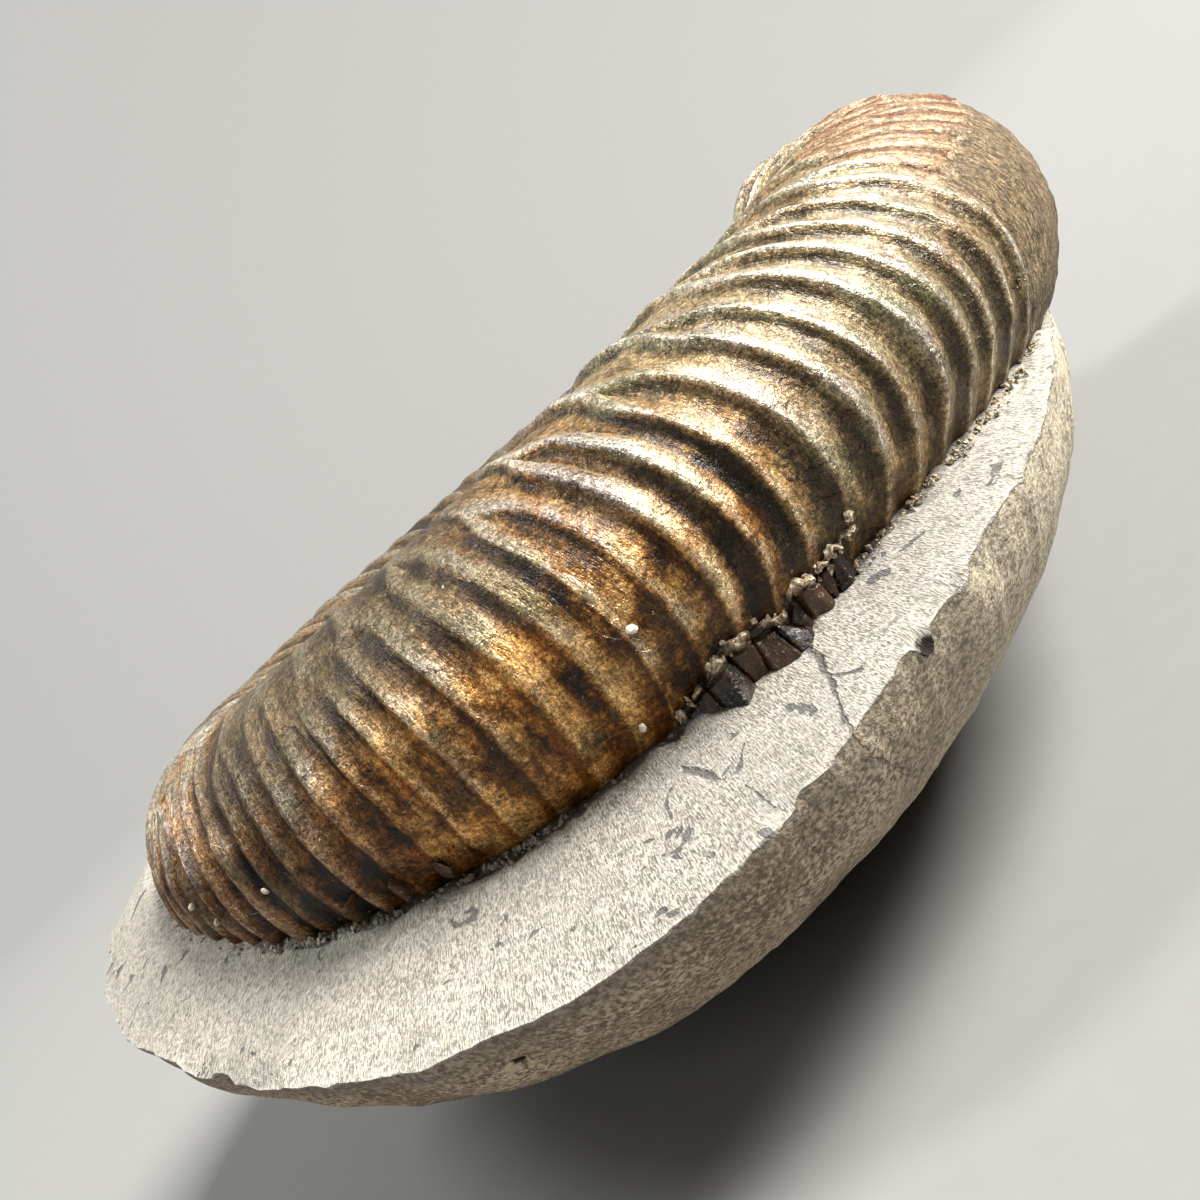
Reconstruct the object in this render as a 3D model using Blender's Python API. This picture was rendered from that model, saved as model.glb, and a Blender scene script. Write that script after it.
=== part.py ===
"""Ammonite fossil: a ribbed, planispiral shell half freed from a rounded stone nodule.

Units are metres and +Z is up.  The origin is the middle of the small flat that the
nodule rests on, and the shell's coiling axis is the Z axis.  The shell grows
anticlockwise seen from above, and its open end lies to the back right.
"""
import math

import bmesh
import bpy

# Driving dimensions of the shell
SHELL_RADIUS = 0.0395        # coiling axis to the outer edge, at the front (-Y)
GROWTH_PER_TURN = 1.54       # radius gained in one turn, as a ratio
HALF_HEIGHT = 0.24           # half the whorl's radial height, over its outer radius
HALF_BREADTH = 0.2334        # half the whorl's breadth along the axis, over its outer radius
SECTION_POWER = 1.9          # superellipse power of the whorl's section: 2 is an ellipse
APERTURE_AZIMUTH = math.radians(20)
FRONT_AZIMUTH = math.radians(-90)
TURNS = 4
RIBS_PER_TURN = 50
RIB_RELIEF = 0.018           # crest to furrow, over the whorl's outer radius

# Driving dimensions of the nodule
CENTRE_HEIGHT = 0.0237       # the shell's mid-plane above the resting flat
REST_FLAT_RADIUS = 0.0115
DOME_POWER = 1.65            # superellipse power of the round underside
RIM_RADIUS = 0.0431          # coiling axis to the outer edge of the dressed face
FACE_SLOPE = math.tan(math.radians(20.5))
CONTACT_RADIUS = 0.0375      # where the dressed face runs in under the shell
CONTACT_DEPTH = 0.0040       # stone's surface there, below the shell's mid-plane
LEFT_SWAY = 0.0027           # the stone stands higher on the left than on the right

# Swells and hollows of the stone: size, azimuth of the middle, and angular width
RIM_BULGE = (0.0030, math.radians(-104), math.radians(26))
RIM_HOLLOW = (0.0048, math.radians(-28), math.radians(28))
FRONT_DIP = (0.0028, math.radians(-104), math.radians(37))
BACK_LEFT_RISE = (0.0052, math.radians(164), math.radians(46))
FIT_GAP = 0.0003

# Mesh fineness
FLANK_STEPS = 3
VENTER_STEPS = 6
SOCKET_COLUMNS = 50
NODULE_COLUMNS = 60
DOME_RINGS = 8


def clear_scene():
    for old in list(bpy.data.objects):
        bpy.data.objects.remove(old, do_unlink=True)


def make_collection(name):
    collection = bpy.data.collections.new(name)
    bpy.context.scene.collection.children.link(collection)
    return collection


def make_material(name, colour, roughness, metallic=0.0):
    material = bpy.data.materials.new(name)
    material.use_nodes = True
    surface = material.node_tree.nodes["Principled BSDF"]
    surface.inputs["Base Color"].default_value = (*colour, 1.0)
    surface.inputs["Roughness"].default_value = roughness
    surface.inputs["Metallic"].default_value = metallic
    return material


def add_object(name, mesh, collection, material=None):
    body = bpy.data.objects.new(name, mesh)
    collection.objects.link(body)
    if material:
        mesh.materials.append(material)
    mesh.shade_smooth()
    mesh.set_sharp_from_angle(angle=math.radians(40))
    return body


def outer_radius(azimuth):
    """The logarithmic spiral that the whorl's outer edge follows."""
    turns_from_front = (azimuth - FRONT_AZIMUTH) / (2 * math.pi)
    return SHELL_RADIUS * GROWTH_PER_TURN ** turns_from_front


def section_half_breadth(radius, outer):
    """Half breadth, at a given radius, of a whorl whose outer edge lies at outer."""
    across = abs(radius - outer * (1 - HALF_HEIGHT)) / (outer * HALF_HEIGHT)
    return outer * HALF_BREADTH * max(0.0, 1 - across ** SECTION_POWER) ** (1 / SECTION_POWER)


def seam_radius():
    """Radius, over the outer one, at which a whorl's flank meets the whorl inside it."""
    low = 1 - 2 * HALF_HEIGHT
    high = 1 / GROWTH_PER_TURN
    for _ in range(50):
        middle = (low + high) / 2
        if section_half_breadth(middle, 1.0) < section_half_breadth(middle, 1 / GROWTH_PER_TURN):
            low = middle
        else:
            high = middle
    return middle


def section_angle(radius, outer):
    """Angle round the whorl's section, from the outer edge, of the flank point at radius."""
    across = (radius - outer * (1 - HALF_HEIGHT)) / (outer * HALF_HEIGHT)
    along = section_half_breadth(radius, outer) / (outer * HALF_BREADTH)
    return math.atan2(along, across)


SEAM = seam_radius()
INNER_SEAM_ANGLE = section_angle(SEAM, 1.0)
OUTER_SEAM_ANGLE = section_angle(SEAM, 1 / GROWTH_PER_TURN)


def shell_point(azimuth, angle, furrow):
    """Point on the whorl at an angle round its section, sunk by furrow from the crests."""
    outer = outer_radius(azimuth)
    reach = (abs(math.cos(angle)) ** SECTION_POWER + abs(math.sin(angle)) ** SECTION_POWER)
    reach = reach ** (-1 / SECTION_POWER)
    sunk = 1 - furrow / HALF_HEIGHT
    radius = outer * (1 - HALF_HEIGHT + HALF_HEIGHT * reach * sunk * math.cos(angle))
    height = outer * HALF_BREADTH * reach * sunk * math.sin(angle)
    return radius * math.cos(azimuth), radius * math.sin(azimuth), height


def add_strip(work, columns, rows, place):
    """A grid of columns by rows faces, each corner put where place(column, row) says."""
    corners = [[work.verts.new(place(i, j)) for j in range(rows + 1)] for i in range(columns + 1)]
    for i in range(columns):
        for j in range(rows):
            work.faces.new((corners[i][j], corners[i + 1][j], corners[i + 1][j + 1], corners[i][j + 1]))


def shell_mesh(name, columns, relief):
    """The whole coil as one closed body, with an even number of columns in each turn.

    Every whorl shows its two flanks, from its seam with the next whorl out to its seam
    with the next whorl in.  Only the last whorl shows its outer edge.  Even columns are
    rib crests and odd ones are furrows, which fade out at the seams.
    """
    work = bmesh.new()
    last_turn = columns * (TURNS - 1)
    step = 2 * math.pi / columns
    start = APERTURE_AZIMUTH - columns * TURNS * step

    def flank(i, j, side):
        across = j / FLANK_STEPS
        angle = OUTER_SEAM_ANGLE + (INNER_SEAM_ANGLE - OUTER_SEAM_ANGLE) * across
        if i > last_turn:
            fade = math.cos(math.pi * across / 2)
        else:
            fade = math.sin(math.pi * across)
        furrow = relief * fade * (i % 2)
        return shell_point(start + i * step, side * angle, furrow)

    def outer_edge(i, j):
        angle = OUTER_SEAM_ANGLE * (1 - 2 * j / VENTER_STEPS)
        furrow = relief * (i % 2)
        return shell_point(start + (last_turn + i) * step, angle, furrow)

    for side in (1, -1):
        add_strip(work, columns * TURNS, FLANK_STEPS, lambda i, j: flank(i, j, side))
    add_strip(work, columns, VENTER_STEPS, outer_edge)
    bmesh.ops.remove_doubles(work, verts=work.verts, dist=1e-7)

    # Three faces close the body: the open end, and the two sides of the first chamber.
    open_edges = [edge for edge in work.edges if edge.is_boundary]
    ends = bmesh.ops.holes_fill(work, edges=open_edges, sides=0)["faces"]
    bmesh.ops.recalc_face_normals(work, faces=work.faces)
    chamber_sides = [face for face in ends if abs(face.normal.z) > 0.5]
    bmesh.ops.poke(work, faces=chamber_sides)
    for corner in work.verts:
        corner.co.z += CENTRE_HEIGHT
    mesh = bpy.data.meshes.new(name)
    work.to_mesh(mesh)
    work.free()
    return mesh


def swell(azimuth, size, middle, width):
    """A smooth swelling of the stone round one azimuth."""
    away = (azimuth - middle + math.pi) % (2 * math.pi) - math.pi
    return size * math.exp(-(away / width) ** 2)


def contact_height(azimuth):
    """Height of the stone where it meets the shell."""
    sway = LEFT_SWAY * math.cos(azimuth + math.radians(170))
    rise = swell(azimuth, *BACK_LEFT_RISE) - swell(azimuth, *FRONT_DIP)
    return CENTRE_HEIGHT - CONTACT_DEPTH + sway + rise


def rim_point(azimuth):
    """Radius and height of the edge between the dressed face and the nodule's own skin."""
    radius = RIM_RADIUS + swell(azimuth, *RIM_BULGE) - swell(azimuth, *RIM_HOLLOW)
    return radius, contact_height(azimuth) - FACE_SLOPE * (radius - CONTACT_RADIUS)


def nodule_point(ring, azimuth):
    """Point on ring 0 (the hidden middle), 1 (under the shell), 2 (the rim) or an underside ring."""
    if ring == 0:
        return 0.0, 0.0, CENTRE_HEIGHT
    if ring > 2 + DOME_RINGS:
        return 0.0, 0.0, 0.0
    if ring == 1:
        radius = CONTACT_RADIUS
        height = contact_height(azimuth)
    else:
        rim_radius, rim_height = rim_point(azimuth)
        sweep = (ring - 2) / DOME_RINGS * math.pi / 2
        drop = math.sin(sweep) ** (2 / DOME_POWER)
        inward = math.cos(sweep) ** (2 / DOME_POWER)
        height = rim_height * (1 - drop)
        radius = REST_FLAT_RADIUS + (rim_radius - REST_FLAT_RADIUS) * inward
    return radius * math.cos(azimuth), radius * math.sin(azimuth), height


def nodule_mesh(name):
    """The uncut nodule: a ball's rings of latitude, each moved to its own outline."""
    rings = DOME_RINGS + 3
    work = bmesh.new()
    bmesh.ops.create_uvsphere(work, u_segments=NODULE_COLUMNS, v_segments=rings, radius=1.0)
    for corner in work.verts:
        latitude = math.acos(max(-1.0, min(1.0, corner.co.z)))
        ring = round(latitude / math.pi * rings)
        azimuth = math.atan2(corner.co.y, corner.co.x)
        corner.co = nodule_point(ring, azimuth)
    bmesh.ops.recalc_face_normals(work, faces=work.faces)
    mesh = bpy.data.meshes.new(name)
    work.to_mesh(mesh)
    work.free()
    return mesh


clear_scene()
fossil = make_collection("ammonite_fossil")
cutters = make_collection("cutters")

shell_calcite = make_material("bronze_shell", (0.115, 0.073, 0.038), 0.38)
limestone = make_material("grey_limestone", (0.42, 0.40, 0.37), 0.9)

ribbed_coil = shell_mesh("ammonite", 2 * RIBS_PER_TURN, RIB_RELIEF)
ammonite = add_object("ammonite", ribbed_coil, fossil, shell_calcite)
nodule = add_object("nodule", nodule_mesh("nodule"), fossil, limestone)

# The socket follows the crests of the ribs, with the flat facets' own error added to the gap.
facet_error = outer_radius(APERTURE_AZIMUTH) * (1 - math.cos(math.pi / SOCKET_COLUMNS))
socket = add_object("socket", shell_mesh("socket", SOCKET_COLUMNS, 0.0), cutters)
clearance = socket.modifiers.new("fit_gap", "DISPLACE")
clearance.strength = FIT_GAP + facet_error
clearance.mid_level = 0.0
socket.hide_render = True
socket.display_type = "WIRE"

cut = nodule.modifiers.new("socket", "BOOLEAN")
cut.operation = "DIFFERENCE"
cut.object = socket
cut.solver = "EXACT"
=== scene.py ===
import itertools
import math

import bpy
import numpy as np
from mathutils import Matrix, Vector


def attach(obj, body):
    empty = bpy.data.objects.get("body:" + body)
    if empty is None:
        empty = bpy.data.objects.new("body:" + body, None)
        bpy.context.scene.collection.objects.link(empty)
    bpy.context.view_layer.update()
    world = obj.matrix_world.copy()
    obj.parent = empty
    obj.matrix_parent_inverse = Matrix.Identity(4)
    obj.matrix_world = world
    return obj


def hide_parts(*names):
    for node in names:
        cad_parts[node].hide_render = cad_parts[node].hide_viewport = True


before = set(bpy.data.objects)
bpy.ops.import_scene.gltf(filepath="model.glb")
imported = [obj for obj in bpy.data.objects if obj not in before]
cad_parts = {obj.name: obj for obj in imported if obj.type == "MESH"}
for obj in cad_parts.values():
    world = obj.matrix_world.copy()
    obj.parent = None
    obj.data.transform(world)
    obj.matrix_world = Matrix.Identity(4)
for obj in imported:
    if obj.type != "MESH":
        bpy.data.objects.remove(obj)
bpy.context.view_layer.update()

# ---------------------------------------------------------------------------------------
# The ammonite.  A flat spiral tube of thin nacreous shell, long since filled with stone,
# that widens by a fixed ratio each turn.  Ribs cross it, single on the flank and forked in
# two over the outer edge; bronze lustre, a worn shoulder, and a patch of pink outer layer.
# ---------------------------------------------------------------------------------------
MM = 0.001
TURN = 2 * math.pi
SHELL_RADIUS = 39.5 * MM
MID_PLANE = 23.7 * MM
GROWTH_PER_TURN = 1.54
HALF_HEIGHT = 0.24
HALF_BREADTH = 0.2334
SECTION_POWER = 1.9
FRONT = math.radians(-90)
OPEN_END = math.radians(20)
INNER_TURNS = 8.0
RIBS_PER_TURN = 50.0
RIB_RELIEF = 0.0185
RIB_PHASE = 0.78
STEEP_SIDE = 0.13
GENTLE_SIDE = 0.33
RIB_SWEEP = math.radians(7.5)
FORK_ANGLE = math.radians(66)
FORK_SPREAD = math.radians(18)
FORK_BLEND = (-0.16, 0.2)
BRANCH_OFFSET = 0.25
RIB_FULL = 2.2
RIB_END = 2.65
RIB_POWER = 1.4
CREST_ROUNDING = 0.012
CREST_LOSS = 0.11
CREST_SPAN = 0.896
LEAST_RIB = 0.62
RIB_CHANCE = 0.42
DRIFT_SCALE = 2.6
DRIFT = 0.5
SHOWN_FROM = math.radians(-62)
SHOWN_TO = math.radians(158)
WELD = 0.0002 * MM
# Swells: height, size and seed.  Stretches: from, to and edge width in degrees, along and round.
RAGGED_EDGES = ((1, 2.2 * MM, 3), (0.6, 0.9 * MM, 4))
SHELL_SWELLS = ((0.18, 8 * MM, 11), (0.09, 3 * MM, 12), (0.045, 1.1 * MM, 13))
LOST_LAYERS = ((1, 3.1 * MM, 15), (0.5, 1.2 * MM, 16))
FILLING_SWELLS = ((0.5, 2.4 * MM, 21), (0.25, 0.9 * MM, 22))
WORN_SHOULDER = (-134, -92, 12), (30, 175, 26)
WORN_START = (-400, -165, 25), (30, 175, 26)
BARE_EDGE = (-46, 21, 2.0), (-70, 27, 5)
BARE_TOP = (-34, 21, 3.0), (-70, 80, 10)
LIP = (-93, -71, 3), (-90, -19, 8)
SKIRT = (-74, 10, 6), (-90, -22, 7)
LOW_FRONT = (-118, -84, 6), (-80, 2, 18)
SOFTENED = (-72, -30, 12), (12, 130, 24)
AMBER = (-116, -95, 9), (-60, 24, 14)
FAINT_AMBER = (-96, -84, 6), (-60, 24, 14)
PURPLE = (-175, -111, 10), (-70, 24, 20)
DISHING = 1.4
MOST_WEAR = 0.92


class Wire:
    """What comes out of a node's socket.  Sums written with it add Math nodes to its tree."""
    def __init__(self, socket):
        self.socket = socket

    def __add__(self, other):
        return calc("ADD", self, other)

    def __sub__(self, other):
        return calc("SUBTRACT", self, other)

    def __rsub__(self, other):
        return calc("SUBTRACT", other, self)

    def __mul__(self, other):
        return calc("MULTIPLY", self, other)

    def __truediv__(self, other):
        return calc("DIVIDE", self, other)

    def __pow__(self, other):
        return calc("POWER", self, other)


def feed(node, feeds):
    """Joins each named input of a node to its wire, or sets it to a plain value."""
    for key, value in feeds.items():
        if isinstance(value, Wire):
            node.id_data.links.new(value.socket, node.inputs[key])
        else:
            node.inputs[key].default_value = value


def put(kind, feeds, out=0, tree=None, **settings):
    """Adds one node to the tree its wires come from, and returns one of its outputs."""
    tree = tree or next(value.socket.id_data for value in feeds.values() if isinstance(value, Wire))
    node = tree.nodes.new(kind)
    for name, value in settings.items():
        setattr(node, name, value)
    feed(node, feeds)
    return Wire(node.outputs[out])


def calc(operation, *values):
    return put("ShaderNodeMath", dict(enumerate(values)), operation=operation)


def clamp(value):
    return calc("MINIMUM", calc("MAXIMUM", value, 0.0), 1.0)


def ramp(value, low, high, to_low=0.0, to_high=1.0, style="SMOOTHSTEP"):
    """Value carried from low..high to to_low..to_high, held at both ends."""
    feeds = {"Value": value, "From Min": low, "From Max": high, "To Min": to_low, "To Max": to_high}
    return put("ShaderNodeMapRange", feeds, interpolation_type=style)


def combine(x, y, z=0.0):
    return put("ShaderNodeCombineXYZ", {"X": x, "Y": y, "Z": z})


def separate(vector):
    return [Wire(socket) for socket in put("ShaderNodeSeparateXYZ", {0: vector}).socket.node.outputs]


def start_tree(name, sizes):
    """A Geometry Nodes tree with named inputs: a size has its usual value, the rest their kind."""
    tree = bpy.data.node_groups.new(name, "GeometryNodeTree")
    tree.interface.new_socket(name="Geometry", in_out="OUTPUT", socket_type="NodeSocketGeometry")
    for label, value in sizes.items():
        kind = {float: "Float", int: "Int"}.get(type(value), value)
        socket = tree.interface.new_socket(name=label, in_out="INPUT", socket_type="NodeSocket" + kind)
        if kind != value:
            socket.default_value = value
    inputs = tree.nodes.new("NodeGroupInput").outputs
    return tree, {label: Wire(inputs[label]) for label in sizes}


def end_tree(tree, made, surface=None):
    """Leads what a tree has made to its output, as real mesh with its surface on."""
    if surface:
        made = put("GeometryNodeRealizeInstances", {"Geometry": made})
        made = put("GeometryNodeSetMaterial", {"Geometry": made, "Material": surface})
    feed(tree.nodes.new("NodeGroupOutput"), {0: made})
    return tree


def whorl_tree():
    """One stretch of the ribbed tube, closed by a disc at either end."""
    tree, size = start_tree("ribbed_whorl", {
        "Front Radius": SHELL_RADIUS, "Growth Per Turn": GROWTH_PER_TURN, "Half Height": HALF_HEIGHT,
        "Half Breadth": HALF_BREADTH, "Section Power": SECTION_POWER, "Mid Plane": MID_PLANE,
        "Start Angle": 0.0, "End Angle": 6.0, "Crowding": 0.01, "Fine Place": 0.72, "Fineness": 0.0,
        "Steps Along": 700, "Steps Around": 100, "Shown From": SHOWN_FROM, "Shown To": SHOWN_TO,
        "Shown Share": 0.88, "Disc Share": 0.01, "Ribs Per Turn": RIBS_PER_TURN, "Rib Relief": RIB_RELIEF,
        "Rib Sweep": RIB_SWEEP, "Fork Angle": FORK_ANGLE, "Fork Spread": FORK_SPREAD,
        "Rib Phase": RIB_PHASE, "Steep Side": STEEP_SIDE, "Gentle Side": GENTLE_SIDE})
    made = put("GeometryNodeMeshGrid", {"Size X": 1.0, "Size Y": 1.0, "Vertices X": size["Steps Along"],
                                        "Vertices Y": size["Steps Around"]})
    grid_x, grid_y, _ = separate(put("GeometryNodeInputPosition", {}, tree=tree))
    share_along = grid_x + 0.5
    share_around = grid_y + 0.5

    # The two ends close: the section shrinks to a point over the first and last steps.
    disc = size["Disc Share"]
    closing = calc("MINIMUM", calc("MINIMUM", share_along, 1.0 - share_along) / disc, 1.0)
    travel = clamp((share_along - disc) / (1.0 - disc * 2.0))

    # Fineness packs the steps closer about one place, and crowding where the tube is small.
    wave = calc("SINE", (travel - size["Fine Place"]) * TURN)
    start_wave = calc("SINE", size["Fine Place"] * TURN)
    travel = travel - size["Fineness"] / TURN * (wave + start_wave)
    crowd = calc("EXPONENT", size["Crowding"]) - 1.0
    eased = calc("LOGARITHM", crowd * travel + 1.0, math.e) / size["Crowding"]
    along = (size["End Angle"] - size["Start Angle"]) * eased + size["Start Angle"]

    # Most steps round the section lie where it shows, and few where stone hides it.
    shown = size["Shown To"] - size["Shown From"]
    first = calc("MINIMUM", share_around / size["Shown Share"], 1.0)
    rest = calc("MAXIMUM", (share_around - size["Shown Share"]) / (1.0 - size["Shown Share"]), 0.0)
    around = (TURN - shown) * rest + (shown * first + size["Shown From"])
    cosine = calc("COSINE", around)
    sine = calc("SINE", around)
    off_edge = calc("ARCCOSINE", cosine)

    # Rib counter: the whole part picks the rib, and the fraction is the place across it.
    drift = put("ShaderNodeTexNoise", {"W": along, "Scale": DRIFT_SCALE, "Detail": 1.0},
                noise_dimensions="1D")
    count = along * (size["Ribs Per Turn"] / TURN) + size["Rib Phase"] + (drift - 0.5) * DRIFT
    rib_number = calc("FLOOR", count)
    across = count - rib_number - 0.5
    chance = put("ShaderNodeTexWhiteNoise", {"W": rib_number}, "Value", noise_dimensions="1D")

    # Out past its fork a rib has two branches, each steep behind and gentle ahead.
    fork_at = (chance - 0.5) * size["Fork Spread"] + size["Fork Angle"]
    spread = ramp(off_edge - fork_at, *FORK_BLEND, BRANCH_OFFSET, 0.0)
    single = 1.0 - spread * (1 / BRANCH_OFFSET)
    branch = across - calc("SIGN", across) * spread
    ahead = calc("GREATER_THAN", branch, 0.0)
    half_width = ahead * (size["Gentle Side"] - size["Steep Side"]) + size["Steep Side"]
    half_width = half_width * (single * 0.5 + (chance * 0.3 + 0.85))
    off_crest = calc("MINIMUM", calc("ABSOLUTE", branch) / half_width, 1.0)
    rounded = calc("SQRT", off_crest * off_crest + CREST_ROUNDING) - CREST_LOSS
    dying_out = ramp(off_edge, RIB_END, RIB_FULL)
    rib = (1.0 - calc("MINIMUM", rounded / CREST_SPAN, 1.0)) ** RIB_POWER
    rib = rib * (chance * RIB_CHANCE + LEAST_RIB) * dying_out
    # How far into its steep side a point lies, used to darken that side in the colour as painted shade.
    steep_shade = calc("SINE", off_crest * math.pi) * (1.0 - ahead)
    # How near the crest a point lies, used for a painted highlight along the crest.
    ridge = (1.0 - off_crest) * dying_out

    azimuth = along - size["Rib Sweep"] * (1.0 - cosine)
    outer = size["Front Radius"] * size["Growth Per Turn"] ** ((azimuth - FRONT) / TURN)
    power = size["Section Power"]
    reach = calc("ABSOLUTE", cosine) ** power + calc("ABSOLUTE", sine) ** power
    reach = reach ** calc("DIVIDE", -1.0, power)
    sunk = 1.0 - size["Rib Relief"] / size["Half Height"] * (1.0 - rib)
    scale = outer * reach * (sunk * closing)
    radius = scale * (size["Half Height"] * cosine) + outer * (1.0 - size["Half Height"])
    height = scale * (size["Half Breadth"] * sine) + size["Mid Plane"]
    place = combine(radius * calc("COSINE", azimuth), radius * calc("SINE", azimuth), height)
    for label, value in (("along", along), ("around", around), ("rib", rib), ("ridge", ridge),
                         ("steep_shade", steep_shade), ("closing", closing)):
        made = put("GeometryNodeStoreNamedAttribute", {"Geometry": made, "Name": label, "Value": value},
                   data_type="FLOAT", domain="POINT")
    made = put("GeometryNodeSetPosition", {"Geometry": made, "Position": place})
    return end_tree(tree, put("GeometryNodeMergeByDistance", {"Geometry": made, "Distance": WELD}))


def coil_tree(whorl):
    """The last turn, finely stepped, and all the turns inside it, joined."""
    tree, size = start_tree("coil", {
        "Open End": OPEN_END, "Inner Turns": INNER_TURNS, "Last Turn Steps": 800, "Inner Steps": 860,
        "Steps Around": 92, "Inner Steps Around": 26, "Surface": "Material"})
    inner_end = size["Open End"] - TURN
    last_turn = {"Start Angle": inner_end, "End Angle": size["Open End"], "Disc Share": 0.02,
                 "Fineness": 0.45, "Steps Along": size["Last Turn Steps"],
                 "Steps Around": size["Steps Around"]}
    inner_turns = {"Start Angle": inner_end - size["Inner Turns"] * TURN, "End Angle": inner_end,
                   "Crowding": size["Inner Turns"] * math.log(GROWTH_PER_TURN), "Disc Share": 0.004,
                   "Shown From": math.radians(40), "Shown Share": 0.7,
                   "Steps Along": size["Inner Steps"], "Steps Around": size["Inner Steps Around"]}
    both = tree.nodes.new("GeometryNodeJoinGeometry")
    for stretch in (last_turn, inner_turns):
        feed(both, {0: put("GeometryNodeGroup", stretch, node_tree=whorl)})
    smooth = put("GeometryNodeSetShadeSmooth", {"Geometry": Wire(both.outputs[0])})
    return end_tree(tree, smooth, size["Surface"])


def add_object(name, data):
    piece = bpy.data.objects.new(name, data)
    bpy.context.scene.collection.objects.link(piece)
    return piece


def grow(name, tree, base=None, **sizes):
    """Runs a tree on an object and returns a plain mesh object in its place."""
    seedling = add_object(name + "_tree", base or bpy.data.meshes.new(name + "_base"))
    modifier = seedling.modifiers.new(name, "NODES")
    modifier.node_group = tree
    for socket in tree.interface.items_tree:
        if socket.in_out == "INPUT" and socket.name in sizes:
            modifier[socket.identifier] = sizes[socket.name]
    bpy.context.view_layer.update()
    grown = seedling.evaluated_get(bpy.context.evaluated_depsgraph_get())
    mesh = bpy.data.meshes.new_from_object(grown)
    mesh.name = name
    seedling.modifiers.remove(modifier)
    bpy.data.objects.remove(seedling)
    for slot in reversed(range(len(mesh.materials))):
        if mesh.materials[slot] is None:
            mesh.materials.pop(index=slot)
    return add_object(name, mesh)


def read_values(mesh, name):
    values = np.empty(len(mesh.vertices))
    mesh.attributes[name].data.foreach_get("value", values)
    return values


def write_values(mesh, **marks):
    """Stores one number at every vertex for each named mark; a single number does for all."""
    for name, values in marks.items():
        values = np.broadcast_to(values, len(mesh.vertices)).astype(np.float32)
        mesh.attributes.new(name, "FLOAT", "POINT").data.foreach_set("value", values)


def polar(azimuth, radius, height):
    """Points at these azimuths, radii and heights, as x, y and z."""
    parts = np.broadcast_arrays(radius * np.cos(azimuth), radius * np.sin(azimuth), height)
    return np.stack(parts, axis=-1)


def lumps(points, size, seed):
    """Smooth random value between -1 and 1 at each point, with swells of about one size."""
    cells = 32
    lattice = np.random.default_rng(seed).random((cells, cells, cells)) * 2 - 1
    scaled = points / size + 500.0
    corner = np.floor(scaled).astype(int)
    part = scaled - corner
    part = part * part * (3 - 2 * part)
    total = np.zeros(len(points))
    for step in itertools.product((0, 1), repeat=3):
        weight = np.prod(np.where(step, part, 1 - part), axis=1)
        total += weight * lattice[tuple(((corner + step) % cells).T)]
    return total


def graded(points, grades):
    """Lumps of several grades added up, each given as its height, size and seed."""
    return sum(height * lumps(points, size, seed) for height, size, seed in grades)


def between(value, low, high, soft):
    """1 well inside low..high, 0 outside it, with edges as wide as soft."""
    rise = np.clip((value - low) / soft + 0.5, 0, 1)
    fall = np.clip((high - value) / soft + 0.5, 0, 1)
    return rise * rise * (3 - 2 * rise) * fall * fall * (3 - 2 * fall)


def outer_radius(azimuth):
    """How far out the spiral's edge is, in metres."""
    return SHELL_RADIUS * GROWTH_PER_TURN ** ((azimuth - FRONT) / TURN)


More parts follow.
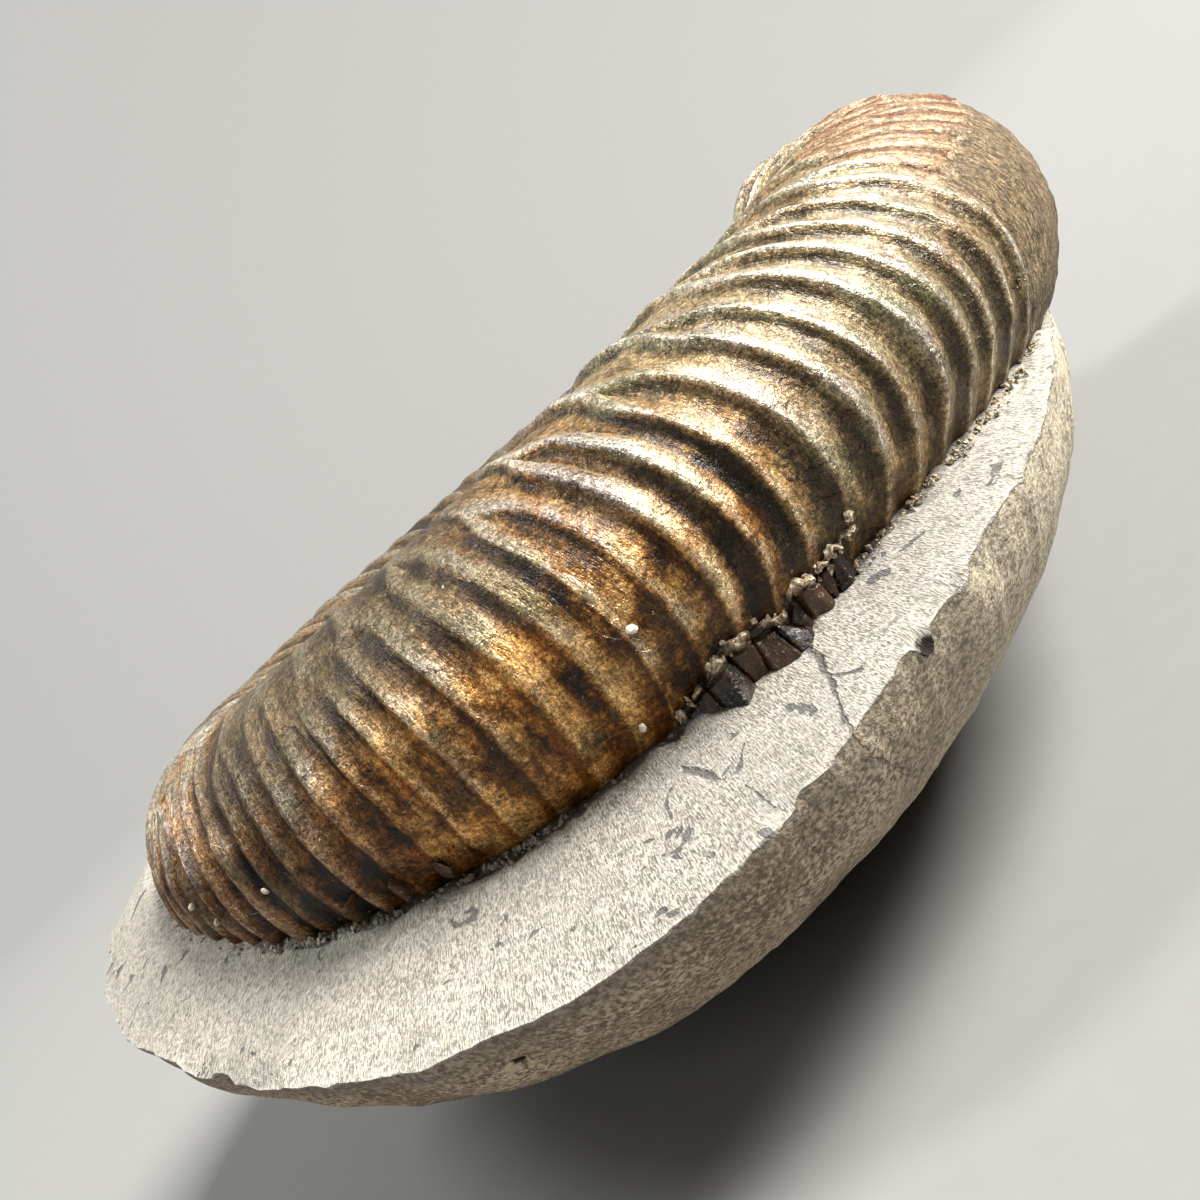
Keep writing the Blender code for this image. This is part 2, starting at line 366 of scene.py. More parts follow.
def wear_shell(mesh):
    """Wear, lost layers and the broken lip, as small pushes in or out of the ribbed tube."""
    spot = np.empty(len(mesh.vertices) * 3)
    mesh.vertices.foreach_get("co", spot)
    spot = spot.reshape(-1, 3)
    names = ("along", "around", "rib", "closing")
    along, around, rib, closing = (read_values(mesh, name) for name in names)
    azimuth = along - RIB_SWEEP * (1 - np.cos(around))
    outer = outer_radius(azimuth)
    out = spot - polar(azimuth, outer * (1 - HALF_HEIGHT), MID_PLANE)
    out /= np.maximum(np.linalg.norm(out, axis=1), 1e-6)[:, None]
    last = (along > OPEN_END - TURN + 1e-4).astype(float)
    ragged = graded(spot, RAGGED_EDGES)
    t = np.degrees(azimuth) + 1.1 * ragged
    s = (np.degrees(around) + 180) % 360 - 180 + 3.0 * ragged

    def within(t_stretch, s_stretch):
        """1 inside a stretch of the last turn: t runs along the coil and s round its section."""
        return last * between(t, *t_stretch) * between(s, *s_stretch)

    worn = np.maximum(within(*WORN_SHOULDER), 0.8 * within(*WORN_START)) + (1 - last) * 0.6
    pink_from = 27 + 0.55 * np.maximum(t + 34, 0)
    pink = within((-47 + 0.12 * (s - 40), 0, 2.0), (pink_from, 84, 6))
    bare = np.maximum(within(*BARE_EDGE), within(*BARE_TOP)) * (1 - pink)
    lip, skirt, low, purple = within(*LIP), within(*SKIRT), within(*LOW_FRONT), within(*PURPLE)
    soft = 0.32 * within(*SOFTENED)
    amber = np.minimum(within(*AMBER) + 0.4 * within(*FAINT_AMBER), 1)
    patchy = between(t, -114, -80, 8) * np.clip(lumps(spot, 6 * MM, 14) * 1.8 + 0.4, 0, 0.85) * (1 - worn)
    faint = np.clip(lumps(spot, 12 * MM, 19) - 0.2, 0, 0.4)
    step = np.clip((graded(spot, LOST_LAYERS) - 0.42) / 0.12, 0, 1) * (1 - bare)

    # Wear takes the ribs down; bare and pink stretches have a grain of their own.
    wear = 0.8 * worn + 0.9 * bare + 0.35 * pink + 0.7 * low + 0.9 * lip + 0.6 * skirt
    wear += patchy + faint + soft
    push = RIB_RELIEF * outer / MM * (0.42 - rib) * np.minimum(wear, MOST_WEAR)
    fine = np.clip(outer / SHELL_RADIUS, 0.1, 1.2)
    push += fine * (graded(spot, SHELL_SWELLS) - 0.08 * step)
    push += patchy * 0.34 * lumps(spot, 4 * MM, 20)
    push += bare * (-0.16 + 0.10 * lumps(spot, 0.9 * MM, 17))
    push += pink * (0.07 + 0.05 * np.sin(along * 360 / 1.25))
    push += 0.6 * (bare * (1 - bare) + pink * (1 - pink)) * lumps(spot, 0.8 * MM, 23)
    spot += out * (np.where(closing > 0.98, push, 0) * MM)[:, None]

    # The broken open end is dished, and rough with filling.
    face = (closing < 0.98) & (along > 0)
    share = np.clip(closing, 0, 1)
    depth = graded(spot, FILLING_SWELLS) - DISHING * np.sqrt(share * (1 - share))
    spot += polar(azimuth + TURN / 4, depth * face * (1 - closing ** 6) * MM, 0)

    mesh.vertices.foreach_set("co", spot.ravel())
    write_values(mesh, worn=worn, bare=np.maximum(bare, face), pink=pink * (1 - face), skirt=skirt,
                 end_face=face, step=step, amber=amber, purple=purple)
    mesh.update()
    mesh.set_sharp_from_angle(angle=math.radians(60))


def tint(red, green, blue):
    """A colour given as the eye sees it, 0 to 255, made linear."""
    seen = (red, green, blue)
    return *(((part / 255 + 0.055) / 1.055) ** 2.4 if part > 10 else part / 3294 for part in seen), 1


def blend(amount, first, second, style="MIX"):
    return put("ShaderNodeMix", {0: amount, 6: first, 7: second}, 2, data_type="RGBA", blend_type=style)


def mottle(vector, scale, detail=4.0, roughness=0.6, warp=0.0):
    feeds = {"Vector": vector, "Scale": scale, "Detail": detail, "Roughness": roughness, "Distortion": warp}
    return put("ShaderNodeTexNoise", feeds, "Fac")


def stored(tree, *names):
    return [put("ShaderNodeAttribute", {}, "Fac", tree, attribute_name=name) for name in names]


def new_surface(name):
    """An empty node material; returns it, its shader and its Object coordinates."""
    surface = bpy.data.materials.new(name)
    surface.use_nodes = True
    nodes = surface.node_tree.nodes
    return surface, nodes["Principled BSDF"], Wire(nodes.new("ShaderNodeTexCoord").outputs["Object"])


def finish_surface(shader, height, depth, feeds):
    """Feeds a shader, and has light catch the surface as if height stood up by depth."""
    relief = put("ShaderNodeBump", {"Strength": 1.0, "Distance": depth, "Height": height})
    feed(shader, {"Normal": relief, "Coat Normal": relief, **feeds})


def bronze_shell():
    """Brown nacre: troughs darkened as painted shade, rib crests silvery and lightened as painted
    highlight, gold and purple stains, dull bare stone.
    """
    surface, shader, place = new_surface("bronze_shell")
    along, around, rib, ridge, steep_shade, closing, end_face = stored(
        surface.node_tree, "along", "around", "rib", "ridge", "steep_shade", "closing", "end_face")
    amber, purple, skirt, worn, step, bare, pink = stored(
        surface.node_tree, "amber", "purple", "skirt", "worn", "step", "bare", "pink")
    grown = combine(along * 38.0, around * 2.2)
    spiral = combine(along * 12.0, around * 8.8)
    blotch = mottle(place, 140, 3, 0.62, 0.4)
    patch = mottle(place, 330, 4, 0.65, 0.6)
    fleck = mottle(grown, 1.4, 4, 0.75)
    fibre = mottle(grown, 4.5, 3, 0.7)
    streak = mottle(spiral, 5.5, 3, 0.75)
    grit = mottle(place, 3000, 2, 0.75)
    hair = mottle(place, 7000, 1, 0.8, 1.2)

    # How light the film is: rib crests lightened as painted highlight, troughs and steep sides darkened as
    # painted shade, lighter towards the upper side as painted light, broken up by wear.
    fresh = ramp(along + (blotch - 0.5) * 0.5, math.radians(-90), math.radians(-64))
    tone = (0.4 - rib) * (amber * 0.55 + fresh * 0.22) + rib
    for pattern, weight in ((fleck, 1.3), (streak, 0.8), (patch, 1.3), (blotch, 1.0)):
        tone = (pattern - 0.5) * weight + tone
    # Steep sides darker as painted shade, and tone rising from the lower side to the upper as painted
    # light.
    tone = tone - steep_shade * 0.45 + ramp(around, math.radians(-35), math.radians(40), -0.1, 0.26, "LINEAR")
    high = ramp(around + (blotch - 0.5) * 2.4, math.radians(-10), math.radians(45))
    high = calc("MAXIMUM", high, fresh * 0.9)
    high = calc("MAXIMUM", high, ramp(blotch, 0.55, 0.66, 0.0, 0.7))
    tone_share = ramp(tone, 0.1, 0.8)
    # Trough colours stand for painted shade; crest colours are partly the film's own silver and cream,
    # partly painted highlight.
    trough_shade = blend(ramp(blotch, 0.42, 0.62), tint(12, 7, 2), tint(56, 33, 9))
    trough_shade = blend(fresh * 0.85, trough_shade, tint(72, 62, 42))
    slope = blend(ramp(patch, 0.4, 0.62), tint(112, 75, 31), tint(136, 103, 58))
    slope = blend(fresh * 0.6, slope, tint(138, 126, 98))
    silver = blend(ramp(blotch, 0.42, 0.58), tint(171, 165, 149), tint(157, 148, 141))
    crest_and_highlight = blend(high, tint(222, 201, 166), silver)
    colour = blend(ramp(tone, 0.0, 0.45), trough_shade, slope)
    colour = blend(ramp(tone, 0.35, 1.0) * 0.9, colour, crest_and_highlight)

    # Stains over it: green bloom, gold, rust, brown near the stone, purple, and worn dull; with them a
    # painted highlight along the rib crests and a painted shadow beside flaked layers.
    green = ramp(high * 0.03 + mottle(place, 210, 2, 0.55), 0.53, 0.65) * ramp(rib, 0.0, 0.5)
    colour = blend(green * 0.6, colour, tint(116, 116, 88))
    gold = blend(tone_share, tint(130, 75, 14), tint(212, 166, 98))
    colour = blend(amber * ramp(patch, 0.40, 0.6) * 0.9, colour, gold)
    rusted = ramp(fresh, 0.0, 1.0, 0.55, 0.14) - purple * 0.35
    rusted = calc("MAXIMUM", ramp(mottle(place, 180, 3, 0.6, 0.4), 0.54, 0.64) * rusted, 0.0)
    colour = blend(rusted, colour, blend(tone_share, tint(84, 48, 14), tint(170, 116, 60)))
    earth = blend(ramp(patch, 0.42, 0.6), tint(54, 34, 16), tint(134, 104, 64))
    colour = blend(skirt * 0.4, colour, earth)
    # A thin pale line along each rib crest, stronger higher up: a painted highlight.
    crest_line_highlight = ramp(ridge + (fibre - 0.5) * 0.3, 0.84, 0.97) * ramp(tone, 0.2, 0.9)
    crest_line_highlight = crest_line_highlight * ramp(patch, 0.36, 0.56) * ramp(high, 0.1, 0.9, 0.22, 0.65)
    colour = blend(crest_line_highlight, colour, tint(208, 199, 174))
    colour = blend(purple * 0.6, colour, tint(138, 98, 82), "MULTIPLY")
    colour = blend(worn * 0.85, colour, blend(ramp(tone, 0.0, 0.9), tint(42, 33, 21), tint(98, 85, 62)))
    colour = blend(step * 0.35, colour, tint(78, 62, 46))
    layer = (grit - 0.5) * 0.06 + mottle(place, 230, 3, 0.55, 0.5)
    flaked = ramp(blotch, 0.5, 0.56) * high
    shadow = ramp(layer, 0.555, 0.565) * ramp(layer, 0.60, 0.565) * flaked
    colour = blend(shadow * 0.5, colour, tint(52, 38, 24))

    # Bare filling, the shell's broken wall at the open end, and the pink outer layer.
    grain = put("ShaderNodeMix", {0: end_face, 2: fibre, 3: mottle(place, 700, 3, 0.7)})
    filling = blend(ramp(grain, 0.36, 0.66), tint(68, 55, 38), tint(136, 117, 88))
    filling = blend(ramp(patch, 0.48, 0.6, 0.0, 0.7), filling, tint(92, 76, 54))
    colour = blend(bare, colour, filling)
    colour = blend(end_face * ramp(closing, 0.86, 0.93) * 0.7, colour, tint(176, 160, 132))
    lines = calc("SINE", (along + fleck * 0.014) * 288.0)
    rosy = blend(ramp(lines * 0.55 + tone, -0.1, 1.1), tint(92, 56, 28), tint(152, 126, 97))
    rosy = blend(ramp(patch, 0.5, 0.64), rosy, tint(104, 78, 52))
    colour = blend(pink * 0.9, colour, rosy)
    torn = ramp(pink * (1.0 - pink) + bare * (1.0 - bare), 0.06, 0.22)
    colour = blend(torn * ramp(fibre, 0.48, 0.6, 0.0, 0.6), colour, tint(172, 150, 120))

    colour = blend(1.0 - high, colour, (1.03, 0.95, 0.8, 1), "MULTIPLY")
    colour = blend(1.0, colour, ramp(hair, 0.34, 0.66, 0.5, 1.6), "MULTIPLY")
    colour = blend(1.0, colour, ramp(grit, 0.36, 0.62, 0.62, 1.3), "MULTIPLY")
    # Sparse pale specks: painted glints.
    colour = blend(ramp(grit, 0.7, 0.75, 0.0, 0.4), colour, tint(232, 214, 178))

    dull = calc("MAXIMUM", bare, pink * 0.45)
    height = fleck * 0.16
    for pattern, depth in ((fibre, 0.06), (grit, 0.055), (hair, 0.035), (grain * bare, 0.12),
                           (lines * pink, 0.05), (ramp(layer, 0.565, 0.555), 0.08)):
        height = pattern * depth + height
    finish_surface(shader, height, MM, {
        "Base Color": colour, "Roughness": fleck * 0.4 + 0.14 + dull * 0.34 + worn * 0.14,
        "Metallic": (1.0 - dull) * ramp(tone, 0.0, 1.0, 0.06, 0.55),
        "Specular IOR Level": 0.2, "Coat Weight": 0.15, "Coat Roughness": 0.1})
    return surface


shell = grow("ammonite_shell", coil_tree(whorl_tree()), Surface=bronze_shell())
wear_shell(shell.data)
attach(shell, "root")
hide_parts("ammonite")

# ---------------------------------------------------------------------------------------
# The nodule half.  Hard grey limestone that held the fossil: its broken edge was dressed
# back to a sloping face round the shell with a fine tool, and the rest keeps the brown,
# pitted skin of the pebble.  One block, the shell still sitting in it.  Sizes are in mm.
# ---------------------------------------------------------------------------------------
MIDDLE = MID_PLANE / MM
FLAT_RADIUS = 11.5
DOME_POWER = 1.65
RIM_RADIUS = 43.1
MEAN_HALF = 0.236
RIM_SWELL = (3.0, -104, 26)
RIM_HOLLOW = (4.8, -28, 28)
RIM_BITE = (0.9, -171, 2.2)
FACE_SLOPE = math.tan(math.radians(20.5))
CONTACT_RADIUS = 37.5
CONTACT_DEPTH = 4.0
CONTACT_SWELL = (5.2, 164, 46)
CONTACT_HOLLOW = (2.8, -104, 37)
LEFT_SWAY = 2.7
SWAY_TURN = math.radians(170)
COLUMNS = 680
FRONT_CROWDING = 0.45
HUB_RADII = np.linspace(1.0, 22.0, 12)
BURIED_RADII = np.linspace(22.5, 33.0, 22)
FACE_FROM = 33.3
FACE_RINGS = 34
DOME_RINGS = 52
RIM_BAND = 0.12
FLAT_BAND = 0.25
CHIP_DEPTH, CHIP_REACH = 0.8, 0.9
JOIN_REACH = 0.7
CRUST = (1.0, -104, 45)
CRUST_REACH = 0.42
BURIED = -1.6
PIT_RADIUS = 0.55
PITS = ((-78, 43.7, 15.5), (-111.5, 44.8, 12.9))
CRACKS = (((-92.9, 39.4), (-91.9, 40.9), 0.3), ((-93.2, 38.9), (-91.5, 41.4), 0.12),
          ((-81.6, 39.4), (-83.2, 42.0), 0.24), ((-83.2, 42.0), (-85.2, 45.0), 0.12),
          ((-82.8, 41.2), (-81.4, 42.6), 0.16), ((-91.0, 42.4), (-90.2, 44.6), 0.07))
RIM_NICKS = ((0.28, 5.0, 31), (0.16, 1.5, 32), (0.10, 0.7, 34))
TOOL_MARKS = ((0.10, 5.0, 41), (0.06, 1.3, 42), (0.035, 0.6, 43))
CHIPPED = ((1, 2.3, 44), (0.4, 0.9, 45))
JOIN_GRAIN = ((0.30, 1.6, 46), (0.22, 0.7, 47))
SKIN_GRAIN = ((0.30, 9.0, 51), (0.12, 3.0, 52), (0.07, 1.1, 53))


def pitted(spot):
    """1 at the middle of each pit in the stone, falling to 0 at its edge."""
    middles = [polar(math.radians(degrees), *place) for degrees, *place in PITS]
    return sum(np.exp(-(np.linalg.norm(spot - middle, axis=1) / PIT_RADIUS) ** 4) for middle in middles)


def swell(azimuth, size, middle, width):
    """A smooth rise of this size about one azimuth, in degrees as its width is."""
    off = (azimuth - math.radians(middle) + math.pi) % TURN - math.pi
    return size * np.exp(-(off / math.radians(width)) ** 2)


def face_height(azimuth, radius):
    """Height of the dressed face above the table."""
    contact = (MIDDLE - CONTACT_DEPTH + LEFT_SWAY * np.cos(azimuth + SWAY_TURN)
               + swell(azimuth, *CONTACT_SWELL) - swell(azimuth, *CONTACT_HOLLOW))
    inside = MIDDLE + (contact - MIDDLE) * radius / CONTACT_RADIUS
    return np.where(radius < CONTACT_RADIUS, inside, contact - FACE_SLOPE * (radius - CONTACT_RADIUS))


def turns_at(azimuth, radius):
    """Each turn of the shell in this direction: its outer radius, and how far out it radius is."""
    last = (azimuth - OPEN_END) % TURN + OPEN_END - TURN
    for turn in range(6):
        outer = outer_radius(last - TURN * turn) / MM
        yield outer, np.abs((radius - outer * (1 - HALF_HEIGHT)) / (outer * HALF_HEIGHT)) ** SECTION_POWER


def off_shell(azimuth, radius, height):
    """Rough distance outside the shell's smooth outline, negative inside it."""
    best = np.full(radius.shape, 1e3)
    for outer, flat in turns_at(azimuth, radius):
        tall = np.abs((height - MIDDLE) / (outer * HALF_BREADTH)) ** SECTION_POWER
        best = np.minimum(best, ((flat + tall) ** (1 / SECTION_POWER) - 1) * outer * MEAN_HALF)
    return best


def shell_breadth(azimuth, radius):
    """Greatest half-breadth that any turn of the shell has at this radius."""
    best = np.zeros(radius.shape)
    for outer, flat in turns_at(azimuth, radius):
        best = np.maximum(best, outer * HALF_BREADTH * np.clip(1 - flat, 0, 1) ** (1 / SECTION_POWER))
    return best


def rim_radius(azimuth):
    return RIM_RADIUS + swell(azimuth, *RIM_SWELL) - swell(azimuth, *RIM_HOLLOW)


def face_ring(azimuth, rim, radius):
    """One ring of points on the top of the block, and what marks the stone there."""
    spot = polar(azimuth, radius, face_height(azimuth, radius))
    clear = off_shell(azimuth, radius, spot[:, 2])
    hollow = pitted(spot)
    chip = np.clip(graded(spot, CHIPPED) - 0.30, 0, 1) * np.exp(-((rim - radius) / CHIP_REACH) ** 2)
    height = spot[:, 2] + graded(spot, TOOL_MARKS) - CHIP_DEPTH * chip - 0.9 * hollow
    height += graded(spot, JOIN_GRAIN) * np.exp(-(clear / JOIN_REACH) ** 2)
    under_shell = MIDDLE - 0.96 * shell_breadth(azimuth, radius)
    spot[:, 2] = np.where(clear > BURIED, height, np.minimum(height, under_shell))
    crust = swell(azimuth, *CRUST) * np.exp(-(np.maximum(clear, 0) / CRUST_REACH) ** 2)
    return spot, (rim - radius, hollow, crust)


def dome_ring(azimuth, rim, sweep, rim_height):
    """One ring of points on the rounded skin, sweep radians down from the rim."""
    drop = math.sin(sweep) ** (2 / DOME_POWER)
    inward = math.cos(sweep) ** (2 / DOME_POWER)
    radius = FLAT_RADIUS + (rim - FLAT_RADIUS) * inward
    spot = polar(azimuth, radius, face_height(azimuth, rim) * (1 - drop))
    hollow = pitted(spot)
    pock = np.clip(lumps(spot, 1.7, 54) - 0.55, 0, 1)
    bump = graded(spot, SKIN_GRAIN) - 0.15 - 0.25 * pock - 0.7 * hollow
    bump *= min(1.0, sweep / RIM_BAND) * min(1.0, (math.pi / 2 - sweep) / FLAT_BAND)
    spot += polar(azimuth, inward, -drop) * bump[:, None]
    spot[:, 2] += (rim_height - face_height(azimuth, rim)) * max(0.0, 1 - sweep / RIM_BAND)
    spot[:, 2] = np.maximum(spot[:, 2], 0)
    return spot, (np.full(COLUMNS, -sweep * 20), hollow, np.zeros(COLUMNS))


def build_nodule():
    """The whole block, as rings from the middle of its top out to the rim and down to the flat."""
    step = TURN * np.arange(COLUMNS) / COLUMNS
    azimuth = FRONT + step - FRONT_CROWDING * np.sin(step)
    rim_line = polar(azimuth, 43.0, 0.0)
    rim = rim_radius(azimuth) - swell(azimuth, *RIM_BITE)
    rim -= sum(depth * np.abs(lumps(rim_line, size, seed)) for depth, size, seed in RIM_NICKS)
    rim -= 0.8 * np.clip(lumps(rim_line, 3.4, 33) - 0.5, 0, 1)
    radii = [np.full(COLUMNS, radius) for radius in (*HUB_RADII, *BURIED_RADII)]
    radii += [FACE_FROM + (rim - FACE_FROM) * share for share in np.linspace(0, 1, FACE_RINGS)]
    rings = [face_ring(azimuth, rim, radius) for radius in radii]
    rim_height = rings[-1][0][:, 2]
    rings += [dome_ring(azimuth, rim, sweep, rim_height)
              for sweep in np.linspace(0, math.pi / 2, DOME_RINGS + 1)[1:]]
    top = [0, 0, rings[0][0][:, 2].mean()]
    verts = np.concatenate([spot for spot, marks in rings] + [[top, [0, 0, 0]]]) * MM

    ring = np.arange(COLUMNS)
    after = (ring + 1) % COLUMNS
    starts = np.arange(len(rings))[:, None] * COLUMNS
    low, high = starts[:-1], starts[1:]
    quads = np.stack([low + ring, high + ring, high + after, low + after], axis=-1).reshape(-1, 4)
    top_spot = np.full(COLUMNS, len(rings) * COLUMNS)
    lid = np.stack([top_spot, ring, after], axis=1)
    base = np.stack([starts[-1] + ring, top_spot + 1, starts[-1] + after], axis=1)
    mesh = bpy.data.meshes.new("nodule_stone")
    mesh.from_pydata(verts.tolist(), [], quads.tolist() + lid.tolist() + base.tolist())
    rimward, hollow, crust = (np.concatenate(rows + ([rows[0][0], rows[-1][0]],))
                              for rows in zip(*(marks for spot, marks in rings)))
    write_values(mesh, rimward=rimward, hollow=hollow, crust=crust)
    mesh.polygons.foreach_set("use_smooth", np.ones(len(mesh.polygons), dtype=bool))
    mesh.update()
    mesh.set_sharp_from_angle(angle=math.radians(45))
    return add_object("nodule_stone", mesh)


def crack_lines(x, y, frayed):
    """1 along each crack in the face, 0 off it."""
    cracked = 0.0
    for *ends, width in CRACKS:
        start, end = (Vector(polar(math.radians(degrees), radius * MM, 0.0)) for degrees, radius in ends)
        run = end - start
        off_x, off_y = x - start.x, y - start.y
        share = clamp(off_x * (run.x / run.length_squared) + off_y * (run.y / run.length_squared))
        off_x, off_y = off_x - share * run.x, off_y - share * run.y
        gap = calc("SQRT", off_x * off_x + off_y * off_y) + frayed
        cracked = calc("MAXIMUM", cracked, ramp(gap, width * MM, 0.3 * width * MM))
    return cracked


def dressed_limestone():
    """Tooled pale face with short strokes across it, and brown pitted skin below the rim."""
    surface, shader, place = new_surface("dressed_limestone")
    edge, pit, joined = stored(surface.node_tree, "rimward", "hollow", "crust")
    x, y, _ = separate(place)
    from_axis = calc("SQRT", x ** 2.0 + y ** 2.0)
    stroke = mottle(combine(x / from_axis * 520.0, y / from_axis * 520.0, from_axis * 3600.0), 1.0, 2, 0.6)
    cloud = mottle(place, 110, 3, 0.6)
    grain = mottle(place, 1500, 4, 0.75)
    grit = mottle(place, 4200, 2, 0.7)
    stain = mottle(place, 480, 3, 0.6, 0.5)
    cracked = crack_lines((stain - 0.5) * (0.9 * MM) + x, (cloud - 0.5) * (1.4 * MM) + y,
                          (grain - 0.5) * (0.5 * MM))
    ragged = (grain - 0.5) * 0.8 + (stain - 0.5)
    hollow = ramp(ragged + pit, 0.3, 0.6)

    # The tooled face: pale strokes, darker in the middle and lighter towards both sides as painted shade,
    # clouds and grit, dark flecks, cracks and dirt at the join.
    face = blend(ramp((grain - 0.5) * 0.6 + stroke, 0.34, 0.64), tint(108, 104, 95), tint(188, 182, 168))
    # Painted shade: the face darker in the middle, lighter towards both sides.
    face = blend(1.0, face, ramp(calc("ABSOLUTE", x), 0.0, 28 * MM, 0.76, 1.06), "MULTIPLY")
    face = blend(ramp(cloud, 0.4, 0.62, 0.0, 0.35), face, tint(128, 125, 118))
    face = blend(ramp(grain, 0.56, 0.7, 0.0, 0.5), face, tint(76, 73, 67))
    face = blend(ramp(grit, 0.55, 0.7, 0.0, 0.6), face, tint(206, 199, 184))
    fleck = ramp(stain, 0.635, 0.66) * 0.75
    face = blend(fleck, face, tint(50, 51, 55))
    face = blend(cracked * 0.75, face, tint(58, 55, 52))
    face = blend(ramp(ragged + joined, 0.45, 0.75, 0.0, 0.75), face, tint(56, 43, 30))

    # The skin: brown with fine specks, paler to the right as painted light, and rubbed grey near the rim.
    painted_light_right = ramp(x, -4 * MM, 24 * MM)
    skin = blend(ramp(cloud, 0.38, 0.62), tint(140, 119, 94), tint(188, 168, 138))
    skin = blend(painted_light_right * 0.6, skin, tint(218, 210, 188))
    speck = grit - 0.5 + mottle(place, 2600, 4, 0.75)
    skin = blend(ramp(speck, 0.4, 0.66), skin, blend(painted_light_right, tint(92, 79, 62), tint(140, 128, 107)))
    skin = blend(ramp(speck, 0.42, 0.32, 0.0, 0.6), skin, tint(206, 192, 168))
    skin = blend(ramp(stain, 0.6, 0.7, 0.0, 0.25), skin, tint(72, 64, 54))
    rubbed = ramp((cloud - 0.5) * 9.0 + edge, -4.5, -1.0, 0.0, 0.5) * (1.0 - painted_light_right)
    skin = blend(rubbed, skin, tint(98, 93, 84))

    edge = edge + (stain - 0.5) * 2.2 + (grain - 0.5) * 1.6
    dressed = ramp(edge, -0.45, -0.15, style="LINEAR")
    colour = blend(dressed, skin, face)
    colour = blend(ramp(calc("ABSOLUTE", edge), 0.35, 0.05) * 0.2, colour, tint(196, 188, 174))
    # Pits and their ragged edges painted near black: painted shade in the hollows.
    colour = blend(hollow, colour, tint(26, 19, 11))
    height = stroke * dressed * 0.13 + grain * 0.16 + grit * 0.05 - fleck * 0.06 - cracked * 0.15
    finish_surface(shader, height, MM, {
        "Base Color": colour, "Roughness": calc("MAXIMUM", grain * 0.25 + 0.62, hollow)})
    return surface


nodule = build_nodule()
limestone = dressed_limestone()
nodule.data.materials.append(limestone)
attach(nodule, "root")
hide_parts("nodule")

# ---------------------------------------------------------------------------------------
# Crumbs along the join.  Where the shell goes into the stone, broken bits of brown shell
# and grains of limestone are left stuck in the crevice from digging the fossil out, with
# a few cream specks of lime on the shell itself.  Each bit is a sharp little lump.
# ---------------------------------------------------------------------------------------
CRUMB_RELIEF = 0.08 * MM
RIM_MARGIN = 0.9
LEDGE_AT = (-91.5, -88.5, -86.0, -83.5, -82.5, -81.0, -79.5, -77.5, -75.5, -73.0)
LEDGE_HEIGHT = (-37, -33, -27.5, -28, -30.5, -35, -27, -31, -28, -25)
FOOT_AT = (-91.5, -88.7, -87.2, -85.2, -83.5, -81.2, -79.8, -78.5, -76.2, -73.0)
FOOT_RADIUS = (37.6, 37.9, 39.0, 38.7, 38.9, 39.3, 38.6, 38.7, 38.3, 37.4)
CHIPS = np.array((
    (-90.0, 0.6, -0.1, 0.2), (-86.9, 0.7, 0.10, 0.0), (-84.9, 0.35, -0.16, 0.5), (-83.4, 0.75, 0.05, 0.35),
    (-81.2, 0.8, 0.12, 0.05), (-80.6, 0.3, -0.18, 0.2), (-78.6, 0.6, 0.10, 0.6), (-76.9, 0.3, -0.1, 0.3),
    (-75.9, 0.7, 0.06, 0.1), (-73.6, 0.6, -0.1, 0.4)))
CHIP_COLUMNS = 230
CHIP_ROWS = 90
MM_ALONG_DEGREE = 0.69
MM_LEDGE_TO_FOOT = 2.1
LIP_CRUMBS = 60
FLAKES_AT = ((-116.0, -112.5, -121.0), (-20.5, -26.0, -16.0))
SPECKS_AT = ((-126.5, -137.0, -89.5, -93.5, -140.0), (5, 3, -1, -28, 12))


def scatter_tree():
    """Puts one jagged lump at every vertex of its base mesh, turned and sized at random."""
    tree, size = start_tree("scattered_bits", {
        "Base": "Geometry", "Smallest": 0.2 * MM, "Largest": 0.6 * MM, "Flatness": 0.6,
        "Steps": 1, "Jaggedness": 0.55, "Seed": 1, "Surface": "Material"})
    ball = put("GeometryNodeMeshIcoSphere", {"Radius": 1.0, "Subdivisions": size["Steps"]})
    knock = put("FunctionNodeRandomValue", {0: (-1, -1, -1), 1: (1, 1, 1), "Seed": size["Seed"]},
                data_type="FLOAT_VECTOR")
    push = put("ShaderNodeVectorMath", {0: knock, "Scale": size["Jaggedness"]}, operation="SCALE")
    lump = put("GeometryNodeSetPosition", {"Geometry": ball, "Offset": push})
    lump = put("GeometryNodeConvexHull", {"Geometry": lump})
    lump = put("GeometryNodeTransform", {"Geometry": lump, "Scale": combine(1.0, 0.75, size["Flatness"])})
    turned = put("FunctionNodeRandomValue", {0: (0, 0, 0), 1: (TURN, TURN, TURN), "Seed": size["Seed"]},
                 data_type="FLOAT_VECTOR")
    spread = {2: size["Smallest"], 3: size["Largest"], "Seed": size["Seed"]}
    sized = put("FunctionNodeRandomValue", spread, 1)
    made = put("GeometryNodeInstanceOnPoints", {"Points": size["Base"], "Instance": lump,
                                                "Rotation": turned, "Scale": sized})
    return end_tree(tree, made, size["Surface"])


def join_line(azimuth):
    """Radius in mm at which the dressed face meets the shell."""
    steps = np.linspace(24.0, 44.0, 401)
    inside = (off_shell(angle, steps, face_height(angle, steps)) < 0 for angle in azimuth)
    return np.array([steps[held].max() for held in inside])


def along_join(count, low, high, out_from, out_to, sink):
    """Places scattered along the join from low to high degrees, so far out from it."""
    azimuth = np.radians(dice.uniform(low, high, count))
    radius = join_line(azimuth) + dice.uniform(out_from, out_to, count)
    held = radius < rim_radius(azimuth) - RIM_MARGIN
    azimuth, radius = azimuth[held], radius[held]
    return polar(azimuth, radius, face_height(azimuth, radius) - sink)


